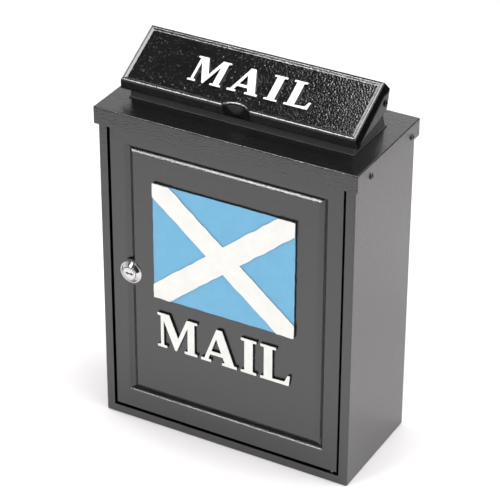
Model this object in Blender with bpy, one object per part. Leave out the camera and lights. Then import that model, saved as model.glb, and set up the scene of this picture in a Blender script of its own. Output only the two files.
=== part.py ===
"""Wall mounted mailbox: sheet steel casing, lidded letter hood and lockable cast door.

Metres, +Z up, front facing -Y. The pieces are modelled with y = 0 on the casing's front
face; the root empty then shifts them so that the origin is below the middle of the box.
"""
import bpy
import bmesh
from math import cos, hypot, pi, radians, sin, sqrt, tan
from mathutils import Vector

MM = 0.001
GAP = 0.3 * MM
SHEET = 1.2 * MM
FAR = 20 * MM

# Casing
WIDTH = 250 * MM
DEPTH = 113.2 * MM
HEIGHT = 318 * MM
LIP = 8.5 * MM
OPENING_TOP = 302.5 * MM
WALL_TOP = HEIGHT - SHEET - 0.5 * MM

# Back panel
BACK_FLANGE = 8 * MM
PAD_RADIUS = 14 * MM
PAD_RISE = 3.3 * MM
PAD_HOLE_RADIUS = 3 * MM
PAD_X = 90 * MM
PAD_HEIGHTS = (40 * MM, 275 * MM)

# Top cap
CAP_OVERHANG = 3 * MM
CAP_SKIRT = 16.4 * MM
SLOT_HALF_WIDTH = 98 * MM
SLOT_FRONT = 34 * MM
SLOT_BACK = 76 * MM
CAP_SCREW_Z = 306 * MM
CAP_SCREW_Y = (23 * MM, 101 * MM)
SCREW_RADIUS = 1.6 * MM
SCREW_HEAD_RADIUS = 2.9 * MM
SCREW_HEAD_HEIGHT = 1.6 * MM

# Door
DOOR_HALF_WIDTH = 114.1 * MM
DOOR_BOTTOM = 11.2 * MM
DOOR_TOP = 300 * MM
DOOR_FRONT = 0.5 * MM
DOOR_THICK = 6 * MM
DOOR_BACK = DOOR_FRONT + DOOR_THICK
GROOVE_HALF_WIDTH = 4.2 * MM
GROOVE_DEPTH = 2.6 * MM
GROOVE_X = 95.3 * MM
GROOVE_Z = (35.8 * MM, 282.7 * MM)
HINGE_X = 108.5 * MM
HINGE_Y = DOOR_FRONT + DOOR_THICK / 2
PIN_RADIUS = 1.6 * MM
PIN_INSERT = 11 * MM
PIN_FREE = 5.2 * MM

# Relief on the door
PANEL_HALF_WIDTH = 70.5 * MM
PANEL_Z = (140.5 * MM, 257 * MM)
PANEL_RELIEF = 2 * MM
CROSS_HALF_WIDTH = 10.7 * MM
CROSS_RELIEF = 0.6 * MM
DOOR_TEXT_LEFT = -67.5 * MM
DOOR_TEXT_BASE = 89.5 * MM
DOOR_TEXT_HEIGHT = 36 * MM
DOOR_TEXT_RELIEF = 2.4 * MM

# Lock
LOCK_Z = 158 * MM
BEZEL_RADIUS = 11 * MM
BEZEL_FRONT = -2.2 * MM
BARREL_RADIUS = 8 * MM
BARREL_END = 20 * MM
PLUG_RADIUS = 6.5 * MM
PLUG_FRONT = -3.2 * MM
CAM_LENGTH = 26.5 * MM
CAM_THICK = 2 * MM
CAM_HALF_WIDTH = 7 * MM
LOCK_BOSS_RADIUS = 13 * MM
NUT_RADIUS = 12.1 * MM
NUT_THICK = 4 * MM

# Flap and letter hood; the flap's top plane rises towards the back
SLOPE = radians(29.05)
FLAP_FRONT_Y = 19.34 * MM
FLAP_FRONT_Z = 338.12 * MM
FLAP_HALF_WIDTH = 113.15 * MM
FLAP_LENGTH = 61 * MM
FLAP_RIM = 11.45 * MM
FLAP_DRAFT = 2.15 * MM
FLAP_PLATE = 3.5 * MM
FLAP_WALL = 3 * MM
FIELD_DEPTH = 0.8 * MM
BORDER = 4.8 * MM
SCALLOP_DEPTH = 4.7 * MM
SCALLOP_HALF_CHORD = 13.5 * MM
ROOF_SCALLOP = 3.2 * MM
SCALLOP_RADIUS = (SCALLOP_HALF_CHORD ** 2 + SCALLOP_DEPTH ** 2) / (2 * SCALLOP_DEPTH)
PIVOT_Y = 71.8 * MM
PIVOT_Z = HEIGHT + 30.8 * MM
PIVOT_HOLE_RADIUS = 2.2 * MM
PIVOT_HEAD_RADIUS = 2.7 * MM
PIVOT_BOSS_RADIUS = 5 * MM
FLAP_TEXT_LEFT = -54.5 * MM
FLAP_TEXT_BASE = 15.6 * MM
FLAP_TEXT_HEIGHT = 26 * MM
FLAP_TEXT_RELIEF = 2 * MM
HOOD_HALF_WIDTH = 108.6 * MM
HOOD_FRONT = 27.5 * MM
HOOD_BACK = 88 * MM
HOOD_LEAN = 0.375
HOOD_WALL = 3 * MM
HOOD_CREST = 41 * MM
HOOD_FOOT = 1.5 * MM

# The origin lies midway between the lock plug's face and the wall pads
FRONT_SHIFT = -(PLUG_FRONT + DEPTH + PAD_RISE) / 2

DOOR_AXIS = Vector((HINGE_X, HINGE_Y, DOOR_BOTTOM))
LOCK_AXIS = Vector((-GROOVE_X, 0, LOCK_Z))
FLAP_AXIS = Vector((0, PIVOT_Y, PIVOT_Z))

FINISHES = {
    "black_paint": ((0.02, 0.02, 0.021), 0.28, 0.0),
    "cast_black": ((0.012, 0.012, 0.012), 0.22, 0.0),
    "white_paint": ((0.88, 0.88, 0.84), 0.45, 0.0),
    "blue_paint": ((0.19, 0.46, 0.72), 0.45, 0.0),
    "chrome": ((0.85, 0.85, 0.86), 0.12, 1.0),
    "steel": ((0.45, 0.45, 0.46), 0.35, 1.0),
}


# ---------------------------------------------------------------- modelling tools

def clear_scene():
    for item in list(bpy.data.objects):
        bpy.data.objects.remove(item, do_unlink=True)


def link(name, mesh):
    item = bpy.data.objects.new(name, mesh)
    bpy.context.scene.collection.objects.link(item)
    return item


def mesh_object(name, points, faces):
    """A closed body from points and faces, with its normals turned outwards."""
    shape = bmesh.new()
    corners = [shape.verts.new(point) for point in points]
    for face in faces:
        shape.faces.new([corners[index] for index in face])
    bmesh.ops.recalc_face_normals(shape, faces=shape.faces)
    mesh = bpy.data.meshes.new(name)
    shape.to_mesh(mesh)
    shape.free()
    return link(name, mesh)


def loft(name, first, second):
    """A solid between two outlines with the same number of points."""
    count = len(first)
    faces = [list(range(count)), list(range(count, 2 * count))]
    for index in range(count):
        after = (index + 1) % count
        faces.append([index, after, count + after, count + index])
    return mesh_object(name, list(first) + list(second), faces)


def box(name, x_span, y_span, z_span):
    def ring(z):
        return [(x_span[0], y_span[0], z), (x_span[1], y_span[0], z),
                (x_span[1], y_span[1], z), (x_span[0], y_span[1], z)]
    return loft(name, ring(z_span[0]), ring(z_span[1]))


def prism_x(name, outline, x_span):
    """Outline of (y, z) points extruded along x."""
    near = [(x_span[0], y, z) for y, z in outline]
    far = [(x_span[1], y, z) for y, z in outline]
    return loft(name, near, far)


def prism_y(name, outline, y_span):
    """Outline of (x, z) points extruded along y."""
    near = [(x, y_span[0], z) for x, z in outline]
    far = [(x, y_span[1], z) for x, z in outline]
    return loft(name, near, far)


def circle(radius, segments, centre=(0, 0), start=0.0):
    turns = [start + 2 * pi * step / segments for step in range(segments)]
    return [(centre[0] + radius * cos(turn), centre[1] + radius * sin(turn)) for turn in turns]


def rod_x(name, radius, x_span, centre, segments=24):
    return prism_x(name, circle(radius, segments, centre), x_span)


def rod_y(name, radius, y_span, centre, segments=32):
    return prism_y(name, circle(radius, segments, centre), y_span)


def rod_z(name, radius, z_span, centre, segments=24):
    low = [(x, y, z_span[0]) for x, y in circle(radius, segments, centre)]
    high = [(x, y, z_span[1]) for x, y in circle(radius, segments, centre)]
    return loft(name, low, high)


def turned_tube(name, profile, centre, segments=40):
    """Closed (radius, y) profile, clear of the axis, turned about an axis along y."""
    points = []
    for radius, y in profile:
        points += [(x, y, z) for x, z in circle(radius, segments, centre)]
    faces = []
    for band in range(len(profile)):
        this = band * segments
        other = (band + 1) % len(profile) * segments
        for step in range(segments):
            after = (step + 1) % segments
            faces.append([this + step, this + after, other + after, other + step])
    return mesh_object(name, points, faces)


def combine(target, tool, operation):
    """Boolean whose result replaces the target's mesh; the tool is removed."""
    modifier = target.modifiers.new(operation, "BOOLEAN")
    modifier.object = tool
    modifier.operation = operation
    modifier.solver = "EXACT"
    graph = bpy.context.evaluated_depsgraph_get()
    mesh = bpy.data.meshes.new_from_object(target.evaluated_get(graph))
    target.modifiers.clear()
    target.data = mesh
    bpy.data.objects.remove(tool, do_unlink=True)


def cut(target, tool):
    combine(target, tool, "DIFFERENCE")


def add(target, tool):
    combine(target, tool, "UNION")


def paint(item, finish):
    """Give the piece its own Principled material."""
    colour, roughness, metallic = FINISHES[finish]
    material = bpy.data.materials.new(item.name + "_" + finish)
    material.use_nodes = True
    shader = material.node_tree.nodes["Principled BSDF"]
    shader.inputs["Base Color"].default_value = (*colour, 1.0)
    shader.inputs["Roughness"].default_value = roughness
    shader.inputs["Metallic"].default_value = metallic
    item.data.materials.clear()
    item.data.materials.append(material)


def finish(item, look, parent, position=Vector((0, 0, 0)), round_piece=False):
    """Paint a piece and hang it on an empty that stands at the given position."""
    paint(item, look)
    if round_piece:
        item.data.shade_smooth()
        item.data.set_sharp_from_angle(angle=radians(35))
    item.parent = parent
    item.location = -position
    return item


def empty(name, parent, location):
    item = link(name, None)
    item.parent = parent
    item.location = location
    return item


# ---------------------------------------------------------------- casing

def make_body_shell(root):
    half = WIDTH / 2
    shell = box("body_shell", (-half, half), (0, DEPTH), (0, WALL_TOP))
    inner = half - SHEET
    cut(shell, box("room", (-inner, inner), (SHEET, DEPTH + FAR), (SHEET, WALL_TOP + FAR)))
    side = half - LIP
    cut(shell, box("doorway", (-side, side), (-FAR, FAR), (LIP, OPENING_TOP)))
    drill_cap_screw_holes(shell)
    finish(shell, "black_paint", root)


def drill_cap_screw_holes(target):
    reach = WIDTH
    for y in CAP_SCREW_Y:
        cut(target, rod_x("drill", SCREW_RADIUS + GAP, (-reach, reach), (y, CAP_SCREW_Z)))


def make_back_panel(root):
    half = WIDTH / 2 - SHEET - GAP
    low = SHEET + GAP
    high = WALL_TOP - 1.3 * MM
    plate_front = DEPTH - SHEET
    panel = box("back_panel", (-half, half), (plate_front - BACK_FLANGE, DEPTH), (low, high))
    inner = half - SHEET
    pocket = box("pocket", (-inner, inner), (0, plate_front), (low + SHEET, high + FAR))
    cut(panel, pocket)
    for x in (-PAD_X, PAD_X):
        for z in PAD_HEIGHTS:
            press_wall_pad(panel, x, z)
    finish(panel, "black_paint", root)


def press_wall_pad(panel, x, z):
    """A round pad pressed out of the back panel, with a screw hole through it."""
    rear = DEPTH + PAD_RISE
    add(panel, rod_y("pad", PAD_RADIUS, (DEPTH - SHEET / 2, rear), (x, z)))
    inside = PAD_RADIUS - SHEET
    cut(panel, rod_y("dish", inside, (DEPTH - FAR, rear - SHEET), (x, z)))
    cut(panel, rod_y("hole", PAD_HOLE_RADIUS, (DEPTH - FAR, DEPTH + FAR), (x, z), 24))


def make_top_cap(root):
    side = WIDTH / 2 + CAP_OVERHANG
    front = -CAP_OVERHANG
    back = DEPTH + CAP_OVERHANG
    bottom = HEIGHT - CAP_SKIRT
    cap = box("top_cap", (-side, side), (front, back), (bottom, HEIGHT))
    inner = side - SHEET
    hollow = box("hollow", (-inner, inner), (front + SHEET, back - SHEET),
                 (bottom - FAR, HEIGHT - SHEET))
    cut(cap, hollow)
    slot = box("slot", (-SLOT_HALF_WIDTH, SLOT_HALF_WIDTH), (SLOT_FRONT, SLOT_BACK),
               (HEIGHT - FAR, HEIGHT + FAR))
    cut(cap, slot)
    drill_cap_screw_holes(cap)
    finish(cap, "black_paint", root)


def make_cap_screws(root):
    """Pan head screws through the skirt into the casing's side walls."""
    outer = WIDTH / 2 + CAP_OVERHANG + GAP
    tip = WIDTH / 2 - 7 * MM
    number = 0
    for side in (-1, 1):
        for y in CAP_SCREW_Y:
            number += 1
            name = "cap_screw_{}".format(number)
            make_screw(name, side, outer, tip, (y, CAP_SCREW_Z), SCREW_RADIUS,
                       SCREW_HEAD_RADIUS, root)


def make_screw(name, side, seat, tip, centre, radius, head_radius, root):
    """Screw along x: shank from tip to seat, domed head outside the seat, cross recess."""
    crown = seat + SCREW_HEAD_HEIGHT
    profile = [(head_radius, seat), (head_radius, seat + 0.7 * MM),
               (0.75 * head_radius, crown - 0.25 * MM), (0.4 * head_radius, crown)]
    screw = rod_x(name, radius, sorted((side * tip, side * (seat + 0.2 * MM))), centre)
    for lower, upper in zip(profile, profile[1:]):
        rings = [[(side * x, y, z) for y, z in circle(ring, 24, centre)]
                 for ring, x in (lower, upper)]
        add(screw, loft("head", *rings))
    y, z = centre
    depth = sorted((side * (crown - 0.8 * MM), side * (crown + 1 * MM)))
    arm = 0.55 * head_radius
    blade = 0.28 * MM
    cut(screw, box("recess", depth, (y - arm, y + arm), (z - blade, z + blade)))
    cut(screw, box("recess", depth, (y - blade, y + blade), (z - arm, z + arm)))
    finish(screw, "black_paint", root, round_piece=True)


def make_door_header(root):
    """Angle strip across the casing that the door's top edge closes against."""
    left = -WIDTH / 2 + SHEET + GAP
    right = 99 * MM
    front = DOOR_BACK + 0.7 * MM
    ceiling = 312 * MM
    header = box("door_header", (left, right), (front, front + SHEET), (290 * MM, ceiling))
    shelf = box("shelf", (left, right), (front + SHEET / 2, front + 10 * MM),
                (ceiling - SHEET, ceiling))
    add(header, shelf)
    finish(header, "black_paint", root)


def make_hinge_bracket(name, root, leaf_z, wall_z):
    """Angle on the casing's right wall whose level leaf carries a hinge pin."""
    wall = WIDTH / 2 - SHEET - GAP
    front = SHEET + GAP
    back = DOOR_BACK + 0.3 * MM
    bracket = box(name, (HINGE_X - 5.5 * MM, wall), (front, back), leaf_z)
    add(bracket, box("leaf", (wall - 1.5 * MM, wall), (front, back), wall_z))
    drill = rod_z("drill", PIN_RADIUS + GAP, (leaf_z[0] - FAR, leaf_z[1] + FAR),
                  (HINGE_X, HINGE_Y))
    cut(bracket, drill)
    finish(bracket, "black_paint", root)


def make_hinge_brackets(root):
    make_hinge_bracket("hinge_bracket_lower", root, (6.2 * MM, 8.0 * MM), (1.5 * MM, 7 * MM))
    make_hinge_bracket("hinge_bracket_upper", root, (300.7 * MM, 302.5 * MM),
                       (302 * MM, 312 * MM))


def make_lock_keeper(root):
    """Angle on the left wall that the lock's cam turns behind."""
    wall = -WIDTH / 2 + SHEET + GAP
    catch = BARREL_END + GAP * 2
    low = LOCK_Z - 12 * MM
    high = LOCK_Z + 12 * MM
    keeper = box("lock_keeper", (wall, -109 * MM), (catch - 2.1 * MM, catch - 0.6 * MM),
                 (low, high))
    add(keeper, box("leaf", (wall, wall + 1.5 * MM), (catch - 15 * MM, catch - 1 * MM),
                    (low, high)))
    finish(keeper, "black_paint", root)


# ---------------------------------------------------------------- letter hood

def slope_height(y, below):
    """Height of the plane that lies the given distance below the flap's top plane."""
    return FLAP_FRONT_Z + (y - FLAP_FRONT_Y) * tan(SLOPE) - below / cos(SLOPE)


def make_chute_hood(root):
    clearance = FLAP_PLATE + 0.8 * MM
    base = HEIGHT + GAP
    crest = HEIGHT + HOOD_CREST
    crest_front = FLAP_FRONT_Y + (crest - FLAP_FRONT_Z + clearance / cos(SLOPE)) / tan(SLOPE)
    crest_back = HOOD_BACK - HOOD_LEAN * HOOD_CREST
    outline = [(HOOD_FRONT, base), (HOOD_BACK, base), (crest_back, crest),
               (crest_front, crest), (HOOD_FRONT, slope_height(HOOD_FRONT, clearance))]
    hood = prism_x("chute_hood", outline, (-HOOD_HALF_WIDTH, HOOD_HALF_WIDTH))
    foot_side = HOOD_HALF_WIDTH + HOOD_FOOT
    add(hood, box("foot", (-foot_side, foot_side), (HOOD_FRONT - HOOD_FOOT, HOOD_BACK + HOOD_FOOT),
                  (base, base + 1.2 * MM)))
    wall = HOOD_WALL * hypot(1, HOOD_LEAN)
    depth = 2 * MM
    rise = HOOD_CREST + 10 * MM
    inner_front = HOOD_FRONT + HOOD_WALL
    inner = [(inner_front, HEIGHT - depth),
             (HOOD_BACK - wall + HOOD_LEAN * depth, HEIGHT - depth),
             (HOOD_BACK - wall - HOOD_LEAN * rise, HEIGHT + rise),
             (inner_front, HEIGHT + rise)]
    inner_side = HOOD_HALF_WIDTH - HOOD_WALL
    cut(hood, prism_x("throat", inner, (-inner_side, inner_side)))
    cut(hood, rod_x("drill", PIVOT_HOLE_RADIUS, (-WIDTH, WIDTH), (PIVOT_Y, PIVOT_Z)))
    finish(hood, "cast_black", root)


def make_pivot_screws(root):
    seat = FLAP_HALF_WIDTH + FLAP_DRAFT + GAP
    tip = HOOD_HALF_WIDTH - 2.4 * MM
    for name, side in (("flap_pivot_screw_left", -1), ("flap_pivot_screw_right", 1)):
        make_screw(name, side, seat, tip, (PIVOT_Y, PIVOT_Z), PIVOT_HOLE_RADIUS - GAP,
                   PIVOT_HEAD_RADIUS + 0.3 * MM, root)


# ---------------------------------------------------------------- flap

def on_flap(x, along, rise):
    """Point at x, a distance along the slope from the front edge, above the top plane."""
    return (x,
            FLAP_FRONT_Y + along * cos(SLOPE) - rise * sin(SLOPE),
            FLAP_FRONT_Z + along * sin(SLOPE) + rise * cos(SLOPE))


def scalloped(half_width, front, back, offset, depth, rise):
    """Outline on the flap whose front edge bends round the finger scallop."""
    radius = SCALLOP_RADIUS + offset
    chord = sqrt(2 * radius * SCALLOP_DEPTH - SCALLOP_DEPTH ** 2)
    steps = 12
    points = [on_flap(-half_width, front, rise)]
    for step in range(steps + 1):
        x = chord * (2 * step / steps - 1)
        bend = (sqrt(radius ** 2 - x ** 2) - radius + SCALLOP_DEPTH) * depth / SCALLOP_DEPTH
        points.append(on_flap(x, front + max(bend, 0), rise))
    points.append(on_flap(half_width, front, rise))
    points.append(on_flap(half_width, back, rise))
    points.append(on_flap(-half_width, back, rise))
    return points


def cheek_outline():
    """End cheek that reaches down from the rim to the pivot, as (y, z) points."""
    above_cap = ((36.5, 19), (40.8, 15.3), (72.4, 20.8), (74.6, 21.8), (76.1, 24.2),
                 (80.1, 40.4), (70, 38))
    return [(y * MM, HEIGHT + z * MM) for y, z in above_cap]


def make_flap_cover(pivot):
    outer = FLAP_HALF_WIDTH + FLAP_DRAFT
    flap = loft("flap_cover",
                scalloped(FLAP_HALF_WIDTH, 0, FLAP_LENGTH, 0, SCALLOP_DEPTH, 0),
                scalloped(outer, -FLAP_DRAFT, FLAP_LENGTH + FLAP_DRAFT, 0, 0, -FLAP_RIM))
    wall = FLAP_WALL - 0.5 * MM
    inside = outer - FLAP_WALL
    roof = scalloped(inside - 1.7 * MM, wall - 0.6 * MM, FLAP_LENGTH - wall + 0.6 * MM, wall,
                     ROOF_SCALLOP, -FLAP_PLATE)
    mouth = scalloped(inside, wall - FLAP_DRAFT, FLAP_LENGTH, wall, 0, -FLAP_RIM - 1 * MM)
    cut(flap, loft("cavity", roof, mouth))
    rim = [BORDER, FLAP_LENGTH - BORDER, BORDER, SCALLOP_DEPTH]
    field_side = FLAP_HALF_WIDTH - BORDER
    cut(flap, loft("field", scalloped(field_side, *rim, -FIELD_DEPTH),
                   scalloped(field_side, *rim, 1 * MM)))
    for side in (-1, 1):
        add_cheek(flap, side, inside, outer)
    cut(flap, rod_x("drill", PIVOT_HOLE_RADIUS, (-WIDTH, WIDTH), (PIVOT_Y, PIVOT_Z)))
    finish(flap, "cast_black", pivot, FLAP_AXIS)


def add_cheek(flap, side, inside, outer):
    add(flap, prism_x("cheek", cheek_outline(), sorted((side * inside, side * outer))))
    boss_end = HOOD_HALF_WIDTH + 0.4 * MM
    span = sorted((side * boss_end, side * (inside + 1 * MM)))
    add(flap, rod_x("boss", PIVOT_BOSS_RADIUS, span, (PIVOT_Y, PIVOT_Z)))


# ---------------------------------------------------------------- lettering

def letter_m():
    """Capital M, one unit high, with a thick left diagonal and a thick right stem."""
    outline = [(0.00, 0.00), (0.27, 0.00), (0.27, 0.07), (0.18, 0.08), (0.18, 0.78),
               (0.50, 0.00), (0.55, 0.00), (0.86, 0.76), (0.86, 0.08), (0.77, 0.07),
               (0.77, 0.00), (1.14, 0.00), (1.14, 0.07), (1.06, 0.08), (1.06, 0.92),
               (1.14, 0.93), (1.14, 1.00), (0.84, 1.00), (0.59, 0.38), (0.34, 1.00),
               (0.00, 1.00), (0.00, 0.93), (0.09, 0.92), (0.09, 0.08), (0.00, 0.07)]
    return outline, None, 1.14


def letter_a():
    """Capital A with a triangular counter."""
    outline = [(0.00, 0.00), (0.29, 0.00), (0.29, 0.07), (0.21, 0.08), (0.265, 0.23),
               (0.62, 0.23), (0.68, 0.08), (0.60, 0.07), (0.60, 0.00), (1.02, 0.00),
               (1.02, 0.07), (0.94, 0.08), (0.60, 1.00), (0.44, 1.00), (0.10, 0.08),
               (0.00, 0.07)]
    counter = [(0.30, 0.33), (0.58, 0.33), (0.435, 0.72)]
    return outline, counter, 1.02


def letter_i():
    """Capital I with slab serifs."""
    outline = [(0.00, 0.00), (0.44, 0.00), (0.44, 0.07), (0.34, 0.08), (0.34, 0.92),
               (0.44, 0.93), (0.44, 1.00), (0.00, 1.00), (0.00, 0.93), (0.10, 0.92),
               (0.10, 0.08), (0.00, 0.07)]
    return outline, None, 0.44


def letter_l():
    """Capital L with a raised serif at the end of its foot."""
    outline = [(0.00, 0.00), (0.80, 0.00), (0.83, 0.29), (0.76, 0.29), (0.68, 0.10),
               (0.34, 0.08), (0.34, 0.92), (0.44, 0.93), (0.44, 1.00), (0.00, 1.00),
               (0.00, 0.93), (0.10, 0.92), (0.10, 0.08), (0.00, 0.07)]
    return outline, None, 0.83


WORD = (("m", letter_m), ("a", letter_a), ("i", letter_i), ("l", letter_l))


def make_word(prefix, left, base, height, stretch, space, place, relief, parent, position):
    """Raised capitals; place(x, up, rise) maps the flat lettering onto its surface.

    Letter widths are multiplied by stretch; the space after each is a share of the height.
    """
    x = left
    for key, shape in WORD:
        outline, counter, width = shape()

        def solid(name, points, low, high, start=x):
            rings = [[place(start + px * stretch * height, base + py * height, rise)
                      for px, py in points] for rise in (low, high)]
            return loft(name, *rings)

        letter = solid("{}_{}".format(prefix, key), outline, GAP, relief)
        if counter:
            cut(letter, solid("counter", counter, GAP - 1 * MM, relief + 1 * MM))
        finish(letter, "white_paint", parent, position)
        x += (width * stretch + space) * height


def on_door(x, up, rise):
    return (x, DOOR_FRONT - rise, up)


def on_field(x, up, rise):
    return on_flap(x, up, rise - FIELD_DEPTH)


# ---------------------------------------------------------------- door

def groove_cutter():
    """Round-bottomed moulding swept round the door panel with mitred corners."""
    middle = sum(GROOVE_Z) / 2
    half_height = (GROOVE_Z[1] - GROOVE_Z[0]) / 2
    steps = 8
    profile = [(-GROOVE_HALF_WIDTH, -1 * MM)]
    for step in range(steps + 1):
        turn = pi * step / steps
        profile.append((-GROOVE_HALF_WIDTH * cos(turn), GROOVE_DEPTH * sin(turn)))
    profile.append((GROOVE_HALF_WIDTH, -1 * MM))
    points = []
    for inset, depth in profile:
        x = GROOVE_X - inset
        z = half_height - inset
        y = DOOR_FRONT + depth
        points += [(-x, y, middle - z), (x, y, middle - z), (x, y, middle + z),
                   (-x, y, middle + z)]
    faces = []
    for band in range(len(profile)):
        this = band * 4
        other = (band + 1) % len(profile) * 4
        for side in range(4):
            after = (side + 1) % 4
            faces.append([this + side, this + after, other + after, other + side])
    cutter = mesh_object("groove", points, faces)
    boss = rod_y("boss", LOCK_BOSS_RADIUS, (-FAR, FAR), (-GROOVE_X, LOCK_Z))
    cut(cutter, boss)
    return cutter


def make_door_panel(pivot):
    door = box("door_panel", (-DOOR_HALF_WIDTH, DOOR_HALF_WIDTH), (DOOR_FRONT, DOOR_BACK),
               (DOOR_BOTTOM, DOOR_TOP))
    cut(door, groove_cutter())
    cut(door, rod_y("drill", BARREL_RADIUS + GAP, (-FAR, FAR), (-GROOVE_X, LOCK_Z)))
    socket = PIN_INSERT + 0.4 * MM
    for end, inward in ((DOOR_BOTTOM, 1), (DOOR_TOP, -1)):
        span = sorted((end - inward * FAR, end + inward * socket))
        cut(door, rod_z("drill", PIN_RADIUS + GAP, span, (HINGE_X, HINGE_Y)))
    finish(door, "black_paint", pivot, DOOR_AXIS)


def make_hinge_pins(pivot):
    for name, end, inward in (("hinge_pin_lower", DOOR_BOTTOM, 1), ("hinge_pin_upper", DOOR_TOP, -1)):
        span = sorted((end - inward * PIN_FREE, end + inward * PIN_INSERT))
        pin = rod_z(name, PIN_RADIUS, span, (HINGE_X, HINGE_Y))
        finish(pin, "steel", pivot, DOOR_AXIS, round_piece=True)


def make_relief_panel(pivot):
    outline = [(-PANEL_HALF_WIDTH, PANEL_Z[0]), (PANEL_HALF_WIDTH, PANEL_Z[0]),
               (PANEL_HALF_WIDTH, PANEL_Z[1]), (-PANEL_HALF_WIDTH, PANEL_Z[1])]
    back = DOOR_FRONT - GAP
    field = prism_y("emblem_field", outline, (DOOR_FRONT - PANEL_RELIEF, back))
    finish(field, "blue_paint", pivot, DOOR_AXIS)


def make_relief_cross(pivot):
    """Diagonal cross that runs into the panel's four corners."""
    half_x = PANEL_HALF_WIDTH
    half_z = (PANEL_Z[1] - PANEL_Z[0]) / 2
    middle = sum(PANEL_Z) / 2
    diagonal = hypot(half_x, half_z)
    reach_x = CROSS_HALF_WIDTH * diagonal / half_z
    reach_z = CROSS_HALF_WIDTH * diagonal / half_x
    quarter = [(reach_x, 0), (half_x, half_z - reach_z), (half_x, half_z),
               (half_x - reach_x, half_z)]
    outline = quarter
    outline = outline + [(0, reach_z)] + [(-x, z) for x, z in reversed(quarter)]
    outline = outline + [(x, -z) for x, z in reversed(outline[1:-1])]
    outline = [(x, middle + z) for x, z in outline]
    back = DOOR_FRONT - PANEL_RELIEF - GAP
    cross = prism_y("emblem_cross", outline, (back - CROSS_RELIEF, back))
    finish(cross, "white_paint", pivot, DOOR_AXIS)


# ---------------------------------------------------------------- lock

def make_lock_housing(pivot):
    """Stepped bezel and barrel with a bore for the plug."""
    centre = (-GROOVE_X, LOCK_Z)
    bore = PLUG_RADIUS + GAP
    seat = DOOR_FRONT - GAP
    profile = [(bore, BEZEL_FRONT - 0.7 * MM), (bore + 1.2 * MM, BEZEL_FRONT - 0.7 * MM),
               (bore + 1.4 * MM, BEZEL_FRONT), (BEZEL_RADIUS - 1.2 * MM, BEZEL_FRONT),
               (BEZEL_RADIUS, BEZEL_FRONT + 1.2 * MM), (BEZEL_RADIUS, seat),
               (BARREL_RADIUS, seat), (BARREL_RADIUS, BARREL_END), (bore, BARREL_END)]
    housing = turned_tube("lock_housing", profile, centre)
    finish(housing, "chrome", pivot, DOOR_AXIS, round_piece=True)


def make_lock_nut(pivot):
    centre = (-GROOVE_X, LOCK_Z)
    front = DOOR_BACK + GAP
    nut = rod_y("lock_nut", NUT_RADIUS, (front, front + NUT_THICK), centre, 6)
    cut(nut, rod_y("drill", BARREL_RADIUS + GAP, (0, FAR), centre))
    finish(nut, "steel", pivot, DOOR_AXIS)


def make_lock_plug(pivot):
    """Keyed plug: round key centre with a slot, and a tapped hole at the back."""
    centre = (-GROOVE_X, LOCK_Z)
    end = BARREL_END + GAP
    plug = rod_y("lock_plug", PLUG_RADIUS, (PLUG_FRONT, end), centre, 40)
    key_depth = (PLUG_FRONT - FAR, PLUG_FRONT + 6 * MM)
    x, z = centre
    cut(plug, box("keyway", (x - 3.6 * MM, x + 3.6 * MM), key_depth, (z - 0.8 * MM, z + 0.8 * MM)))
    cut(plug, rod_y("drill", 2.3 * MM, (end - 6 * MM, end + FAR), centre, 24))
    finish(plug, "chrome", pivot, LOCK_AXIS, round_piece=True)


def cam_outline():
    """Round head and straight arm that hangs down, as (x, z) points about the axis."""
    head = CAM_HALF_WIDTH + 1 * MM
    points = [(head * cos(turn), head * sin(turn))
              for turn in (pi * (step / 12) for step in range(13))]
    tip = CAM_LENGTH
    arm = CAM_HALF_WIDTH - 1 * MM
    points += [(-arm, -tip + 2 * MM), (-arm + 2 * MM, -tip), (arm - 2 * MM, -tip),
               (arm, -tip + 2 * MM)]
    return [(x - GROOVE_X, z + LOCK_Z) for x, z in points]


def make_lock_cam(pivot):
    front = BARREL_END + 2 * GAP
    cam = prism_y("lock_cam", cam_outline(), (front, front + CAM_THICK))
    cut(cam, rod_y("drill", 2.3 * MM, (front - FAR, front + FAR), (-GROOVE_X, LOCK_Z), 24))
    finish(cam, "steel", pivot, LOCK_AXIS)


def make_cam_screw(pivot):
    centre = (-GROOVE_X, LOCK_Z)
    seat = BARREL_END + 3 * GAP + CAM_THICK
    screw = rod_y("cam_screw", 2 * MM, (seat - 8 * MM, seat + 0.2 * MM), centre, 24)
    head = rod_y("head", 4.4 * MM, (seat, seat + 2.4 * MM), centre)
    add(screw, head)
    x, z = centre
    slot = (seat + 1.4 * MM, seat + FAR)
    cut(screw, box("slot", (x - 6 * MM, x + 6 * MM), slot, (z - 0.5 * MM, z + 0.5 * MM)))
    finish(screw, "steel", pivot, LOCK_AXIS, round_piece=True)


# ---------------------------------------------------------------- assembly

def make_casing(root):
    make_body_shell(root)
    make_back_panel(root)
    make_top_cap(root)
    make_cap_screws(root)
    make_door_header(root)
    make_hinge_brackets(root)
    make_lock_keeper(root)
    make_chute_hood(root)
    make_pivot_screws(root)


def make_flap(root):
    pivot = empty("flap_axis", root, FLAP_AXIS)
    make_flap_cover(pivot)
    make_word("flap_letter", FLAP_TEXT_LEFT, FLAP_TEXT_BASE, FLAP_TEXT_HEIGHT, 1.09, 0.25,
              on_field, FLAP_TEXT_RELIEF, pivot, FLAP_AXIS)


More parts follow.
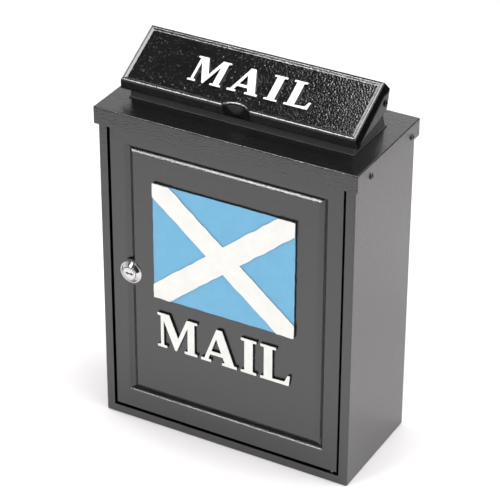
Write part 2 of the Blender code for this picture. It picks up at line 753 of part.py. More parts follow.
def make_door(root):
    pivot = empty("door_axis", root, DOOR_AXIS)
    make_door_panel(pivot)
    make_hinge_pins(pivot)
    make_relief_panel(pivot)
    make_relief_cross(pivot)
    make_word("door_letter", DOOR_TEXT_LEFT, DOOR_TEXT_BASE, DOOR_TEXT_HEIGHT, 1, 0.105,
              on_door, DOOR_TEXT_RELIEF, pivot, DOOR_AXIS)
    make_lock_housing(pivot)
    make_lock_nut(pivot)
    lock_pivot = empty("lock_axis", pivot, LOCK_AXIS - DOOR_AXIS)
    make_lock_plug(lock_pivot)
    make_lock_cam(lock_pivot)
    make_cam_screw(lock_pivot)


def main():
    clear_scene()
    root = empty("mailbox", None, (0, FRONT_SHIFT, 0))
    make_casing(root)
    make_flap(root)
    make_door(root)


main()
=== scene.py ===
from math import cos, hypot, pi, radians, sin, sqrt, tan

import bmesh
import bpy
from mathutils import Matrix, Vector, noise


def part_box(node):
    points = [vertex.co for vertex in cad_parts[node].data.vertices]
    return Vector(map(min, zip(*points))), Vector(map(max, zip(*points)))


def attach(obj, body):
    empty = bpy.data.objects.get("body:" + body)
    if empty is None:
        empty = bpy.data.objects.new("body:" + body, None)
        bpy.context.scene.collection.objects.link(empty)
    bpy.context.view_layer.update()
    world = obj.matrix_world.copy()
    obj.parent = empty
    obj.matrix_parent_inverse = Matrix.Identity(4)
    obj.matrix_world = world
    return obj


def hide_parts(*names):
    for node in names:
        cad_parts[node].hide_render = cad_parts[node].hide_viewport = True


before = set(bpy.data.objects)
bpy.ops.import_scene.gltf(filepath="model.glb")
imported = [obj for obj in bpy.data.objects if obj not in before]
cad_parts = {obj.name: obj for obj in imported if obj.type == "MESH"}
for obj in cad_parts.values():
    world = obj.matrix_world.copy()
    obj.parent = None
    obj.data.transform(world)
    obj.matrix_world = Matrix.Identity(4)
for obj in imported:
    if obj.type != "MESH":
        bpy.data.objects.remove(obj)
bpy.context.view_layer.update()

MM = 0.001
FAR = 1  # well past whatever a cutter goes through

# Driving places, in metres. y is measured from the casing's front face; settle() adds FRONT.
SHELL_LOW, SHELL_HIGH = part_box("body_shell")
CAP_LOW, CAP_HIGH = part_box("top_cap")
DOOR_LOW, DOOR_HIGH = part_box("door_panel")
PANEL_LOW, PANEL_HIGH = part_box("emblem_field")
FRONT = SHELL_LOW.y
HALF_WIDTH = SHELL_HIGH.x
DEPTH = SHELL_HIGH.y - FRONT
CAP_TOP = CAP_HIGH.z
SHEET = 1.2 * MM
LIP = 8.5 * MM
OPENING_TOP = 302.5 * MM
SLOT_SIDE = 98 * MM
SLOT_Y = (34 * MM, 76 * MM)
PAD_X = 90 * MM
PAD_HEIGHTS = (40 * MM, 275 * MM)
CAP_SCREW_Y = (23 * MM, 101 * MM)
CAP_SCREW_Z = 306 * MM
DOOR_FACE = DOOR_LOW.y - FRONT
DOOR_BACK = DOOR_HIGH.y - FRONT

GROOVE_X = 95.3 * MM
GROOVE_Z = (35.8 * MM, 282.7 * MM)
LOCK = (-GROOVE_X, 158 * MM)
LOCK_BOSS_RADIUS = 13 * MM
LOCK_HOLE_RADIUS = 8.3 * MM

SLOPE = radians(29.05)
FLAP_FRONT_Y = 19.34 * MM
FLAP_FRONT_Z = 338.12 * MM
FLAP_HALF_WIDTH = 113.15 * MM
FLAP_LENGTH = 61 * MM
FLAP_RIM = 11.45 * MM
FLAP_DRAFT = 2.15 * MM
FLAP_TOP_DROP = 1.7 * MM
BORDER = 4.8 * MM
# The flap's field is 0.4 mm deeper than in the CAD, and its letters stand 0.4 mm taller on it.
FIELD_DEPTH = 1.2 * MM
SCALLOP_DEPTH = 4.7 * MM
SCALLOP_HALF_CHORD = 13.5 * MM
SCALLOP_RADIUS = (SCALLOP_HALF_CHORD ** 2 + SCALLOP_DEPTH ** 2) / (2 * SCALLOP_DEPTH)
PIVOT = (71.8 * MM, CAP_TOP + 30.8 * MM)
PIVOT_HOLE_RADIUS = 2.2 * MM
SCREW_GAP = 0.05 * MM

LETTER_RELIEF = 2.4 * MM
PANEL_RELIEF = 2 * MM
CROSS_ON_PANEL = 0.9 * MM


# ---------------------------------------------------------------- mesh tools

def mesh_object(name, points, faces):
    """A closed body with its normals turned outwards."""
    shape = bmesh.new()
    corners = [shape.verts.new(point) for point in points]
    for face in faces:
        shape.faces.new([corners[index] for index in face])
    bmesh.ops.recalc_face_normals(shape, faces=shape.faces)
    mesh = bpy.data.meshes.new(name)
    shape.to_mesh(mesh)
    shape.free()
    piece = bpy.data.objects.new(name, mesh)
    bpy.context.scene.collection.objects.link(piece)
    return piece


def loft(name, *rings):
    """A solid through two or more outlines with the same number of points."""
    count = len(rings[0])
    points = [point for ring in rings for point in ring]
    last = count * (len(rings) - 1)
    faces = [list(range(count)), list(range(last, last + count))]
    for level in range(len(rings) - 1):
        for index in range(count):
            after = (index + 1) % count
            low = level * count
            high = low + count
            faces.append([low + index, low + after, high + after, high + index])
    return mesh_object(name, points, faces)


def box(name, x_span, y_span, z_span):
    rings = [[(x_span[0], y_span[0], z), (x_span[1], y_span[0], z),
              (x_span[1], y_span[1], z), (x_span[0], y_span[1], z)] for z in z_span]
    return loft(name, *rings)


def prism_x(name, outline, x_span):
    return loft(name, *[[(x, y, z) for y, z in outline] for x in x_span])


def prism_y(name, outline, y_span):
    return loft(name, *[[(x, y, z) for x, z in outline] for y in y_span])


def circle(radius, segments, centre=(0, 0)):
    turns = [2 * pi * step / segments for step in range(segments)]
    return [(centre[0] + radius * cos(turn), centre[1] + radius * sin(turn)) for turn in turns]


def rod_x(name, radius, x_span, centre, segments=48):
    return prism_x(name, circle(radius, segments, centre), x_span)


def rod_y(name, radius, y_span, centre, segments=64):
    return prism_y(name, circle(radius, segments, centre), y_span)


def arc(centre, radius, start, end, steps):
    """Points on an arc, with its angles in degrees."""
    turns = [radians(start + (end - start) * step / steps) for step in range(steps + 1)]
    return [(centre[0] + radius * cos(turn), centre[1] + radius * sin(turn)) for turn in turns]


def turned(name, profile, axis, side, centre, segments=96):
    """(radius, height) profile turned about x or y; closed if it ends off the axis."""
    def point(radius, height, turn):
        first = centre[0] + radius * cos(turn)
        second = centre[1] + radius * sin(turn)
        if axis == "x":
            return (side * height, first, second)
        return (first, height, second)

    rows = []
    points = []
    for radius, height in profile:
        if radius < 1e-7:
            rows.append([len(points)] * segments)
            points.append(point(0, height, 0))
        else:
            rows.append(list(range(len(points), len(points) + segments)))
            points += [point(radius, height, 2 * pi * step / segments)
                       for step in range(segments)]
    ring = profile[0][0] > 1e-7
    pairs = list(zip(rows, rows[1:])) + ([(rows[-1], rows[0])] if ring else [])
    faces = []
    for low, high in pairs:
        for step in range(segments):
            after = (step + 1) % segments
            face = [low[step], low[after], high[after], high[step]]
            faces.append(list(dict.fromkeys(face)))
    return mesh_object(name, points, faces)


def bake_modifiers(piece):
    graph = bpy.context.evaluated_depsgraph_get()
    mesh = bpy.data.meshes.new_from_object(piece.evaluated_get(graph))
    piece.modifiers.clear()
    piece.data = mesh


def combine(piece, tool, operation):
    modifier = piece.modifiers.new(operation, "BOOLEAN")
    modifier.object = tool
    modifier.operation = operation
    modifier.solver = "EXACT"
    bake_modifiers(piece)
    bpy.data.objects.remove(tool, do_unlink=True)


def cut(piece, tool):
    combine(piece, tool, "DIFFERENCE")


def add(piece, tool):
    combine(piece, tool, "UNION")


def soften(piece, width, segments=3, angle=40):
    """Round every edge that is sharper than the angle."""
    modifier = piece.modifiers.new("soften", "BEVEL")
    modifier.width = width
    modifier.segments = segments
    modifier.limit_method = "ANGLE"
    modifier.angle_limit = radians(angle)
    bake_modifiers(piece)


def settle(piece, material, body, replaced=(), sharp=35):
    """Shade, paint and place a finished piece, and hand it to its body."""
    piece.data.transform(Matrix.Translation((0, FRONT, 0)))
    piece.data.shade_smooth()
    piece.data.set_sharp_from_angle(angle=radians(sharp))
    weighted = piece.modifiers.new("weighted_normals", "WEIGHTED_NORMAL")
    weighted.keep_sharp = True
    piece.data.materials.clear()
    piece.data.materials.append(material)
    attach(piece, body)
    if replaced:
        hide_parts(*replaced)
    return piece


# ---------------------------------------------------------------- materials

GLOSSY_IOR = 1.75
SATIN_IOR = 1.33


class Shader:
    """A Principled material and short calls for the nodes that feed it."""

    def __init__(self, name, colour, roughness, metallic=0.0):
        self.material = bpy.data.materials.new(name)
        self.material.use_nodes = True
        self.tree = self.material.node_tree
        self.main = self.tree.nodes["Principled BSDF"]
        self.main.inputs["Base Color"].default_value = (*colour, 1.0)
        self.main.inputs["Roughness"].default_value = roughness
        self.main.inputs["Metallic"].default_value = metallic
        self.place = self.tree.nodes.new("ShaderNodeTexCoord").outputs["Object"]
        self.normal = None

    def node(self, kind, **inputs):
        made = self.tree.nodes.new(kind)
        for key, value in inputs.items():
            self.feed(made.inputs[key.replace("_", " ")], value)
        return made

    def feed(self, socket, value):
        if isinstance(value, bpy.types.NodeSocket):
            self.tree.links.new(value, socket)
        else:
            socket.default_value = value

    def noise(self, scale, detail=3.0, roughness=0.55, place=None):
        made = self.node("ShaderNodeTexNoise", Scale=scale, Detail=detail, Roughness=roughness)
        self.tree.links.new(place or self.place, made.inputs["Vector"])
        return made.outputs["Fac"]

    def spread(self, value, low, high, start=0.3, end=0.7):
        """Map a noise onto the range low to high."""
        made = self.node("ShaderNodeMapRange", Value=value, From_Min=start, From_Max=end,
                         To_Min=low, To_Max=high)
        return made.outputs["Result"]

    def mix(self, factor, first, second):
        made = self.tree.nodes.new("ShaderNodeMix")
        made.data_type = "RGBA"
        self.feed(made.inputs["Factor"], factor)
        self.feed(made.inputs["A"], first if not isinstance(first, tuple) else (*first, 1.0))
        self.feed(made.inputs["B"], second if not isinstance(second, tuple) else (*second, 1.0))
        return made.outputs["Result"]

    def mix_value(self, factor, first, second):
        made = self.tree.nodes.new("ShaderNodeMix")
        self.feed(made.inputs["Factor"], factor)
        self.feed(made.inputs["A"], first)
        self.feed(made.inputs["B"], second)
        return made.outputs["Result"]

    def colour(self, value):
        self.feed(self.main.inputs["Base Color"], value)

    def roughness(self, value):
        self.feed(self.main.inputs["Roughness"], value)

    def bump(self, height, strength, distance):
        made = self.node("ShaderNodeBump", Height=height, Strength=strength, Distance=distance)
        if self.normal is not None:
            self.tree.links.new(self.normal, made.inputs["Normal"])
        self.normal = made.outputs["Normal"]
        self.tree.links.new(self.normal, self.main.inputs["Normal"])

    def stretched(self, scale):
        made = self.node("ShaderNodeMapping", Scale=scale)
        self.tree.links.new(self.place, made.inputs["Vector"])
        return made.outputs["Vector"]


def powder_coat(name, tone, rough, peel, ripple, fleck):
    """Glossy black powder coat: orange peel, faint ripple, mottling and fine grey flecks."""
    coat = Shader(name, (tone, tone, tone), rough)
    mottle = coat.noise(55, 4)
    darker = (0.78 * tone, 0.78 * tone, 0.79 * tone)
    lighter = (1.25 * tone, 1.24 * tone, 1.25 * tone)
    base = coat.mix(coat.spread(mottle, 0, 1), darker, lighter)
    speck = coat.spread(coat.noise(1000, 2, 0.5), 0, 1, start=0.45, end=0.7)
    coat.colour(coat.mix(speck, base, (tone + fleck,) * 3))
    coat.roughness(coat.spread(coat.noise(160, 3), rough - 0.03, rough + 0.04))
    coat.bump(coat.noise(9, 1), ripple, 2 * MM)
    coat.bump(coat.noise(620, 2, 0.5), peel, 0.32 * MM)
    coat.bump(coat.noise(1900, 2, 0.5), 0.5 * peel, 0.18 * MM)
    coat.main.inputs["IOR"].default_value = GLOSSY_IOR
    return coat.material


def brushed_black(name, tone, rough, mottle_scale, ior):
    """Start of a black coat, with a mottled tone and uneven roughness but no bump yet."""
    coat = Shader(name, (tone, tone, tone), rough)
    mottle = coat.noise(mottle_scale, 4)
    coat.colour(coat.mix(coat.spread(mottle, 0, 1), (0.8 * tone,) * 3, (1.3 * tone,) * 3))
    coat.roughness(coat.spread(coat.noise(300, 3), rough - 0.03, rough + 0.04))
    coat.main.inputs["IOR"].default_value = ior
    return coat


def cast_coat(name, tone, rough, grain, mottle_scale):
    """Black paint over a cast surface: coarser texture and less gloss than the powder coat."""
    coat = brushed_black(name, tone, rough, mottle_scale, SATIN_IOR)
    coat.bump(coat.noise(330, 3, 0.55), 0.5 * grain, 0.35 * MM)
    coat.bump(coat.noise(900, 2, 0.55), grain, 0.2 * MM)
    coat.bump(coat.noise(2200, 2, 0.5), 0.6 * grain, 0.08 * MM)
    return coat.material


def hammered_coat(name, tone, rough):
    """Gloss black over the hammered skin, which has its pattern in the mesh, with a fine grain."""
    coat = brushed_black(name, tone, rough, 90, GLOSSY_IOR)
    coat.bump(coat.noise(1050, 2, 0.5), 0.3, 0.3 * MM)
    coat.bump(coat.noise(2300, 2, 0.5), 0.3, 0.1 * MM)
    return coat.material


def relief_paint(name, paint, origin, normal, height):
    """Paint on the face of a relief this high, with black sides and an uneven paint edge."""
    coat = Shader(name, paint, 0.4)
    away = coat.node("ShaderNodeVectorMath")
    away.operation = "SUBTRACT"
    coat.feed(away.inputs[0], coat.place)
    coat.feed(away.inputs[1], origin)
    lift = coat.node("ShaderNodeVectorMath")
    lift.operation = "DOT_PRODUCT"
    coat.feed(lift.inputs[0], away.outputs["Vector"])
    coat.feed(lift.inputs[1], normal)
    wobble = coat.spread(coat.noise(260, 2), -0.15 * MM, 0.15 * MM)
    level = coat.node("ShaderNodeMath")
    level.operation = "ADD"
    coat.feed(level.inputs[0], lift.outputs["Value"])
    coat.feed(level.inputs[1], wobble)
    covered = coat.spread(level.outputs["Value"], 0, 1, height - 0.4 * MM, height - 0.25 * MM)
    shade = tuple(0.93 * part for part in paint)
    painted = coat.mix(coat.spread(coat.noise(70, 4), 0, 1), shade, paint)
    coat.colour(coat.mix(covered, (BLACK, BLACK, BLACK), painted))
    coat.roughness(coat.mix_value(covered, 0.25, coat.spread(coat.noise(190, 3), 0.34, 0.5)))
    coat.bump(coat.noise(240, 3), 0.22, 0.3 * MM)
    coat.bump(coat.noise(1100, 2), 0.12, 0.1 * MM)
    return coat.material


def chrome_plate(name):
    plate = Shader(name, (0.6, 0.6, 0.6), 0.07, 1.0)
    plate.colour(plate.mix(plate.noise(120, 3), (0.54, 0.54, 0.55), (0.64, 0.64, 0.63)))
    plate.roughness(plate.spread(plate.noise(900, 3), 0.05, 0.13))
    plate.bump(plate.noise(700, 2), 0.05, 0.1 * MM)
    return plate.material


def zinc_plate(name):
    plate = Shader(name, (0.52, 0.52, 0.53), 0.35, 1.0)
    plate.colour(plate.mix(plate.noise(200, 4), (0.42, 0.42, 0.43), (0.58, 0.58, 0.57)))
    plate.roughness(plate.spread(plate.noise(700, 4), 0.28, 0.45))
    plate.bump(plate.noise(1, 3, 0.6, plate.stretched((300, 300, 4000))), 0.15, 0.1 * MM)
    return plate.material


def on_flap(x, along, rise):
    """Point at x, a distance along the slope from the flap's front edge, above its top plane."""
    return (x,
            FLAP_FRONT_Y + along * cos(SLOPE) - rise * sin(SLOPE),
            FLAP_FRONT_Z + along * sin(SLOPE) + rise * cos(SLOPE))


BLACK = 0.005
POWDER_BLACK = 0.6 * BLACK
DOOR_ORIGIN = (0, FRONT + DOOR_FACE, 0)
DOOR_OUT = (0, -1, 0)
FIELD_POINT = on_flap(0, 0, -FIELD_DEPTH)
FLAP_ORIGIN = (0, FIELD_POINT[1] + FRONT, FIELD_POINT[2])
FLAP_OUT = (0, -sin(SLOPE), cos(SLOPE))
WHITE = (0.68, 0.685, 0.65)
BLUE = (0.119, 0.35, 0.53)

SHEET_COAT = powder_coat("sheet_powder_coat", POWDER_BLACK, rough=0.09, peel=0.95, ripple=0.04,
                         fleck=0.018)
DOOR_COAT = powder_coat("door_powder_coat", POWDER_BLACK, rough=0.2, peel=0.5, ripple=0.06,
                        fleck=0.012)
CAST_COAT = cast_coat("cast_powder_coat", 0.002, rough=0.1, grain=0.3, mottle_scale=80)
# The hood's tone is set well above the other blacks so that it reads grey. This is painted sheen
# standing in for the light that its satin coat catches.
HOOD_COAT_PAINTED_SHEEN = cast_coat("hood_coat_painted_sheen", 0.038, rough=0.2, grain=1, mottle_scale=1000)
HAMMER_COAT = hammered_coat("hammered_coat", 0.004, rough=0.1)
DOOR_WHITE = relief_paint("door_letter_white", WHITE, DOOR_ORIGIN, DOOR_OUT, LETTER_RELIEF)
FLAP_WHITE = relief_paint("flap_letter_white", WHITE, FLAP_ORIGIN, FLAP_OUT, LETTER_RELIEF)
CROSS_WHITE = relief_paint("cross_white", WHITE, DOOR_ORIGIN, DOOR_OUT,
                           PANEL_RELIEF + CROSS_ON_PANEL)
PANEL_BLUE = relief_paint("panel_blue", BLUE, DOOR_ORIGIN, DOOR_OUT, PANEL_RELIEF)
CHROME = chrome_plate("chrome_plate")
ZINC = zinc_plate("zinc_plate")


# ---------------------------------------------------------------- casing

def make_casing():
    top = SHELL_HIGH.z
    shell = box("casing", (-HALF_WIDTH, HALF_WIDTH), (0, DEPTH), (0, top))
    soften(shell, 1.3 * MM, 3)
    inner = HALF_WIDTH - SHEET
    cut(shell, box("room", (-inner, inner), (SHEET, FAR), (SHEET, FAR)))
    side = HALF_WIDTH - LIP
    cut(shell, box("doorway", (-side, side), (-FAR, 5 * MM), (LIP, OPENING_TOP)))
    soften(shell, 0.5 * MM, 3, 50)
    settle(shell, SHEET_COAT, "casing", ["body_shell"])


def make_cap():
    """Folded cap, made too deep at first so that its rounded hem is cut off sharp."""
    side = CAP_HIGH.x
    front = CAP_LOW.y - FRONT
    back = CAP_HIGH.y - FRONT
    spare = 5 * MM
    cap = box("cap", (-side, side), (front, back), (CAP_LOW.z - spare, CAP_TOP))
    soften(cap, 1.1 * MM, 3)
    cut(cap, box("hem", (-FAR, FAR), (-FAR, FAR), (CAP_LOW.z - FAR, CAP_LOW.z)))
    hollow = box("hollow", (-side + SHEET, side - SHEET), (front + SHEET, back - SHEET),
                 (CAP_LOW.z - FAR, CAP_TOP - SHEET))
    cut(cap, hollow)
    cut(cap, box("slot", (-SLOT_SIDE, SLOT_SIDE), SLOT_Y, (CAP_TOP - 10 * MM, FAR)))
    settle(cap, SHEET_COAT, "casing", ["top_cap"])


def make_back_panel():
    low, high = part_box("back_panel")
    rear = high.y - FRONT
    rise = rear - DEPTH
    panel = box("back_plate", (low.x, high.x), (low.y - FRONT, DEPTH), (low.z, high.z))
    inner = high.x - SHEET
    cut(panel, box("pocket", (-inner, inner), (-FAR, DEPTH - SHEET), (low.z + SHEET, FAR)))
    for x in (-PAD_X, PAD_X):
        for z in PAD_HEIGHTS:
            press_pad(panel, x, z, rise)
    settle(panel, SHEET_COAT, "casing", ["back_panel"])


def press_pad(panel, x, z, rise):
    """Round standoff with a rounded rim and a screw hole, pressed out of the panel."""
    radius = 14 * MM
    bend = 1.6 * MM
    foot = radius + 1.2 * MM
    crown = DEPTH + rise
    sunk = DEPTH - 0.6 * MM
    profile = [(0, sunk), (foot, sunk), (foot, DEPTH), (radius, DEPTH + 0.3 * MM)]
    profile += arc((radius - bend - 0.6 * MM, crown - bend), bend, 0, 90, 6)
    profile += [(0, crown)]
    add(panel, turned("pad", profile, "y", 1, (x, z), 64))
    cut(panel, rod_y("dish", radius - 2 * MM, (0, crown - SHEET), (x, z)))
    cut(panel, rod_y("hole", 3 * MM, (0, FAR), (x, z), 48))


def make_hood():
    """Letter hood: upright front, sloping top and a rear wall that leans forward."""
    base = CAP_TOP + 0.02 * MM
    height = 41 * MM
    crest = CAP_TOP + height
    clearance = 4.3 * MM / cos(SLOPE)
    front = 27.5 * MM
    back = 88 * MM
    lean = 0.375
    crest_back = back - lean * height
    crest_front = FLAP_FRONT_Y + (crest - FLAP_FRONT_Z + clearance) / tan(SLOPE)
    front_top = FLAP_FRONT_Z + (front - FLAP_FRONT_Y) * tan(SLOPE) - clearance
    side = 108.6 * MM
    outline = [(front, base), (back, base), (crest_back, crest), (crest_front, crest),
               (front, front_top)]
    hood = prism_x("hood", outline, (-side, side))
    soften(hood, 1.2 * MM, 3, 25)
    wall = 3 * MM
    reach = wall * hypot(1, lean)
    rise = 51 * MM
    below = CAP_TOP - 1 * MM
    inner = [(front + wall, below), (back - reach, below),
             (back - reach - lean * rise, CAP_TOP + rise), (front + wall, CAP_TOP + rise)]
    cut(hood, prism_x("throat", inner, (-side + wall, side - wall)))
    edge = 1.1 * MM
    foot = box("foot", (-side - edge, side + edge), (front - edge, back + edge),
               (base, base + edge))
    soften(foot, 0.6 * MM, 3)
    cut(foot, box("foot_hole", (-side + wall, side - wall), (front + wall, back - reach),
                  (base - FAR, base + FAR)))
    add(hood, foot)
    cut(hood, rod_x("drill", PIVOT_HOLE_RADIUS, (-FAR, FAR), PIVOT))
    settle(hood, HOOD_COAT_PAINTED_SHEEN, "casing", ["chute_hood"])


def screw(name, side, seat, centre, radius, shank, material, node, length):
    """Domed screw head with a cross recess, and its shank."""
    crown = 1.6 * MM
    rim = 0.45 * MM
    head = [(0, seat - length), (shank, seat - length), (shank, seat), (radius, seat),
            (radius, seat + rim)]
    steps = 7
    for step in range(1, steps + 1):
        turn = 0.5 * pi * step / steps
        head.append((radius * cos(turn), seat + rim + (crown - rim) * sin(turn)))
    head[-1] = (0, head[-1][1])
    made = turned(name, head, "x", side, centre, 48)
    y, z = centre
    span = sorted((side * (seat + 0.6 * MM), side * (seat + FAR)))
    arm = 0.55 * radius
    blade = 0.32 * MM
    cut(made, box("recess", span, (y - arm, y + arm), (z - blade, z + blade)))
    cut(made, box("recess", span, (y - blade, y + blade), (z - arm, z + arm)))
    settle(made, material, "casing", [node])


def make_screws():
    seat = CAP_HIGH.x + SCREW_GAP
    number = 0
    for side in (-1, 1):
        for y in CAP_SCREW_Y:
            number += 1
            screw("cap_fixing_{}".format(number), side, seat, (y, CAP_SCREW_Z), 2.9 * MM,
                  1.6 * MM, SHEET_COAT, "cap_screw_{}".format(number), 10 * MM)
    seat = FLAP_HALF_WIDTH + FLAP_DRAFT + SCREW_GAP
    for word, side in (("left", -1), ("right", 1)):
        screw("pivot_fixing_" + word, side, seat, PIVOT, 3 * MM, 1.9 * MM, CAST_COAT,
              "flap_pivot_screw_" + word, 9 * MM)


# ---------------------------------------------------------------- flap

def scalloped(half_width, front, back, offset, depth, rise, steps=28):
    """Outline on the flap whose front edge bends round the finger scallop."""
    radius = SCALLOP_RADIUS + offset
    chord = sqrt(2 * radius * SCALLOP_DEPTH - SCALLOP_DEPTH ** 2)
    points = [on_flap(-half_width, front, rise)]
    for step in range(steps + 1):
        x = chord * (2 * step / steps - 1)
        bend = (sqrt(radius ** 2 - x ** 2) - radius + SCALLOP_DEPTH) * depth / SCALLOP_DEPTH
        points.append(on_flap(x, front + max(bend, 0), rise))
    points.append(on_flap(half_width, front, rise))
    points.append(on_flap(half_width, back, rise))
    points.append(on_flap(-half_width, back, rise))
    return points


def cheek_outline():
    """End cheek that reaches down from the rim to the pivot, as (y, z) points."""
    above_cap = ((27, 13), (25.3, 10), (41, 14.8), (72.4, 22.2), (74.6, 23.1), (76.1, 25.2),
                 (80.1, 40.4), (70, 38))
    return [(y * MM, CAP_TOP + z * MM) for y, z in above_cap]


def make_flap():
    outer = FLAP_HALF_WIDTH + FLAP_DRAFT
    wall = 2.5 * MM
    inside = outer - 3 * MM
    share = FLAP_TOP_DROP / FLAP_RIM
    lean = share * FLAP_DRAFT
    flap = loft("flap", scalloped(FLAP_HALF_WIDTH + lean, -lean, FLAP_LENGTH + lean, 0,
                                  SCALLOP_DEPTH * (1 - share), -FLAP_TOP_DROP),
                scalloped(outer, -FLAP_DRAFT, FLAP_LENGTH + FLAP_DRAFT, 0, 0, -FLAP_RIM))
    soften(flap, 0.25 * MM, 2, 35)
    roof = scalloped(inside - 1.7 * MM, wall - 0.6 * MM, FLAP_LENGTH - wall + 0.6 * MM, wall,
                     3.2 * MM, -3.5 * MM)
    mouth = scalloped(inside, wall - FLAP_DRAFT, FLAP_LENGTH, wall, 0, -FLAP_RIM - 1 * MM)
    cut(flap, loft("cavity", roof, mouth))
    for side in (-1, 1):
        cheek = prism_x("cheek", cheek_outline(), sorted((side * inside, side * outer)))
        soften(cheek, 0.6 * MM, 2, 25)
        add(flap, cheek)
        span = sorted((side * 109 * MM, side * (inside + 1 * MM)))
        add(flap, rod_x("boss", 5 * MM, span, PIVOT))
    cut(flap, rod_x("drill", PIVOT_HOLE_RADIUS, (-FAR, FAR), PIVOT))
    settle(flap, CAST_COAT, "flap", ["flap_cover"])


def pebble(x, along):
    """Height of the hammered pattern: low domes with creases between, each tilted its own way."""
    cell = (1.7 * MM, 1.5 * MM)
    crown = 0.14
    tilt = 0.44
    spot = Vector((x / cell[0], along / cell[1], 0.3))
    drift = Vector((noise.noise(0.7 * spot), noise.noise(0.7 * spot + Vector((9, 4, 1))), 0))
    spot += 0.4 * drift
    distances, centres = noise.voronoi(spot, distance_metric="DISTANCE", exponent=2.5)
    edge = min((distances[1] - distances[0]) / 0.45, 1)
    dome = crown * edge * (2 - edge)
    lean = noise.cell_vector(7 * centres[0])
    away = spot - centres[0]
    return MM * (dome + tilt * (away.x * lean.x + away.y * lean.y) * edge)


def ramp(value, start, end, ease):
    """Straight climb from 0 to 1 between two values, eased at both ends."""
    share = min(max((value - start) / (end - start), 0), 1)
    if share < ease:
        climb = share ** 2 / (2 * ease)
    elif share > 1 - ease:
        climb = 1 - ease - (1 - share) ** 2 / (2 * ease)
    else:
        climb = share - ease / 2
    return climb / (1 - ease)


def stations(length, edge, fine, coarse):
    """Places along a side, close together over the borders and wider between them."""
    rim = int(edge / fine)
    middle = int((length - 2 * edge) / coarse)
    places = [edge * step / rim for step in range(rim)]
    places += [edge + (length - 2 * edge) * step / middle for step in range(middle)]
    places += [length - edge + edge * step / rim for step in range(rim + 1)]
    return places


def lid_height(x, along):
    """Rise of the flap's top: rounded edge, leaning ledge, ramp, then the hammered field."""
    centre = SCALLOP_DEPTH - SCALLOP_RADIUS
    round_notch = hypot(x, along - centre) - SCALLOP_RADIUS
    inset = max(min(FLAP_HALF_WIDTH - abs(x), FLAP_LENGTH - along, along, round_notch), 0)
    corner = 0.5 * MM
    ledge = 1.5 * MM
    fall = 0.32 * max(ledge - inset, 0)
    if inset < corner:
        fall += corner - sqrt(corner ** 2 - (corner - inset) ** 2)
    sunk = FIELD_DEPTH * ramp(inset, 1.7 * MM, BORDER, 0.25)
    spot = Vector((x, along, 0))
    grain = 0.07 * MM * noise.noise(spot * 800) + 0.035 * MM * noise.noise(spot * 1900)
    fade = 0.8 * MM
    field = min(max((inset - BORDER + fade) / fade, 0), 1)
    texture = field * (pebble(x, along) - 0.06 * MM)
    return grain + texture - sunk - fall


def make_lid():
    """The flap's top skin, a closed plate whose upper side carries the relief."""
    fine = 0.27 * MM
    across = stations(2 * FLAP_HALF_WIDTH, BORDER, fine, 0.46 * MM)
    lengthwise = stations(FLAP_LENGTH, BORDER, fine, 0.42 * MM)
    underside = -FLAP_TOP_DROP - 0.2 * MM
    columns = len(across) - 1
    rows = len(lengthwise) - 1
    points = []
    under = []
    for place in across:
        x = place - FLAP_HALF_WIDTH
        bend = sqrt(max(SCALLOP_RADIUS ** 2 - x ** 2, 0)) - SCALLOP_RADIUS + SCALLOP_DEPTH
        start = max(bend, 0)
        for distance in lengthwise:
            along = start + distance * (1 - start / FLAP_LENGTH)
            points.append(on_flap(x, along, lid_height(x, along)))
        under += [on_flap(x, start, underside), on_flap(x, FLAP_LENGTH, underside)]
    span = rows + 1
    base = len(points)
    points += under
    faces = []
    for column in range(columns):
        corner = column * span
        low = base + 2 * column
        for row in range(rows):
            here = corner + row
            faces.append([here, here + span, here + span + 1, here + 1])
        faces.append([corner, low, low + 2, corner + span])
        faces.append([corner + rows, corner + span + rows, low + 3, low + 1])
        faces.append([low, low + 1, low + 3, low + 2])
    faces.append(list(range(span)) + [base + 1, base])
    last = columns * span
    faces.append(list(range(last, last + span)) + [base + 2 * columns + 1, base + 2 * columns])
    lid = mesh_object("flap_lid", points, faces)
    settle(lid, HAMMER_COAT, "flap", sharp=50)


# ---------------------------------------------------------------- lettering

LETTERS = {
    "m": ([(0.00, 0.00), (0.27, 0.00), (0.27, 0.07), (0.18, 0.08), (0.18, 0.78),
           (0.50, 0.00), (0.55, 0.00), (0.86, 0.76), (0.86, 0.08), (0.77, 0.07),
           (0.77, 0.00), (1.14, 0.00), (1.14, 0.07), (1.06, 0.08), (1.06, 0.92),
           (1.14, 0.93), (1.14, 1.00), (0.84, 1.00), (0.59, 0.38), (0.34, 1.00),
           (0.00, 1.00), (0.00, 0.93), (0.09, 0.92), (0.09, 0.08), (0.00, 0.07)], None, 1.14),
    "a": ([(0.00, 0.00), (0.29, 0.00), (0.29, 0.07), (0.21, 0.08), (0.265, 0.23),
           (0.62, 0.23), (0.68, 0.08), (0.60, 0.07), (0.60, 0.00), (1.02, 0.00),
           (1.02, 0.07), (0.94, 0.08), (0.60, 1.00), (0.44, 1.00), (0.10, 0.08),
           (0.00, 0.07)], [(0.30, 0.33), (0.58, 0.33), (0.435, 0.72)], 1.02),
    "i": ([(0.00, 0.00), (0.44, 0.00), (0.44, 0.07), (0.34, 0.08), (0.34, 0.92),
           (0.44, 0.93), (0.44, 1.00), (0.00, 1.00), (0.00, 0.93), (0.10, 0.92),
           (0.10, 0.08), (0.00, 0.07)], None, 0.44),
    "l": ([(0.00, 0.00), (0.80, 0.00), (0.83, 0.29), (0.76, 0.29), (0.68, 0.10),
           (0.34, 0.08), (0.34, 0.92), (0.44, 0.93), (0.44, 1.00), (0.00, 1.00),
           (0.00, 0.93), (0.10, 0.92), (0.10, 0.08), (0.00, 0.07)], None, 0.83)}


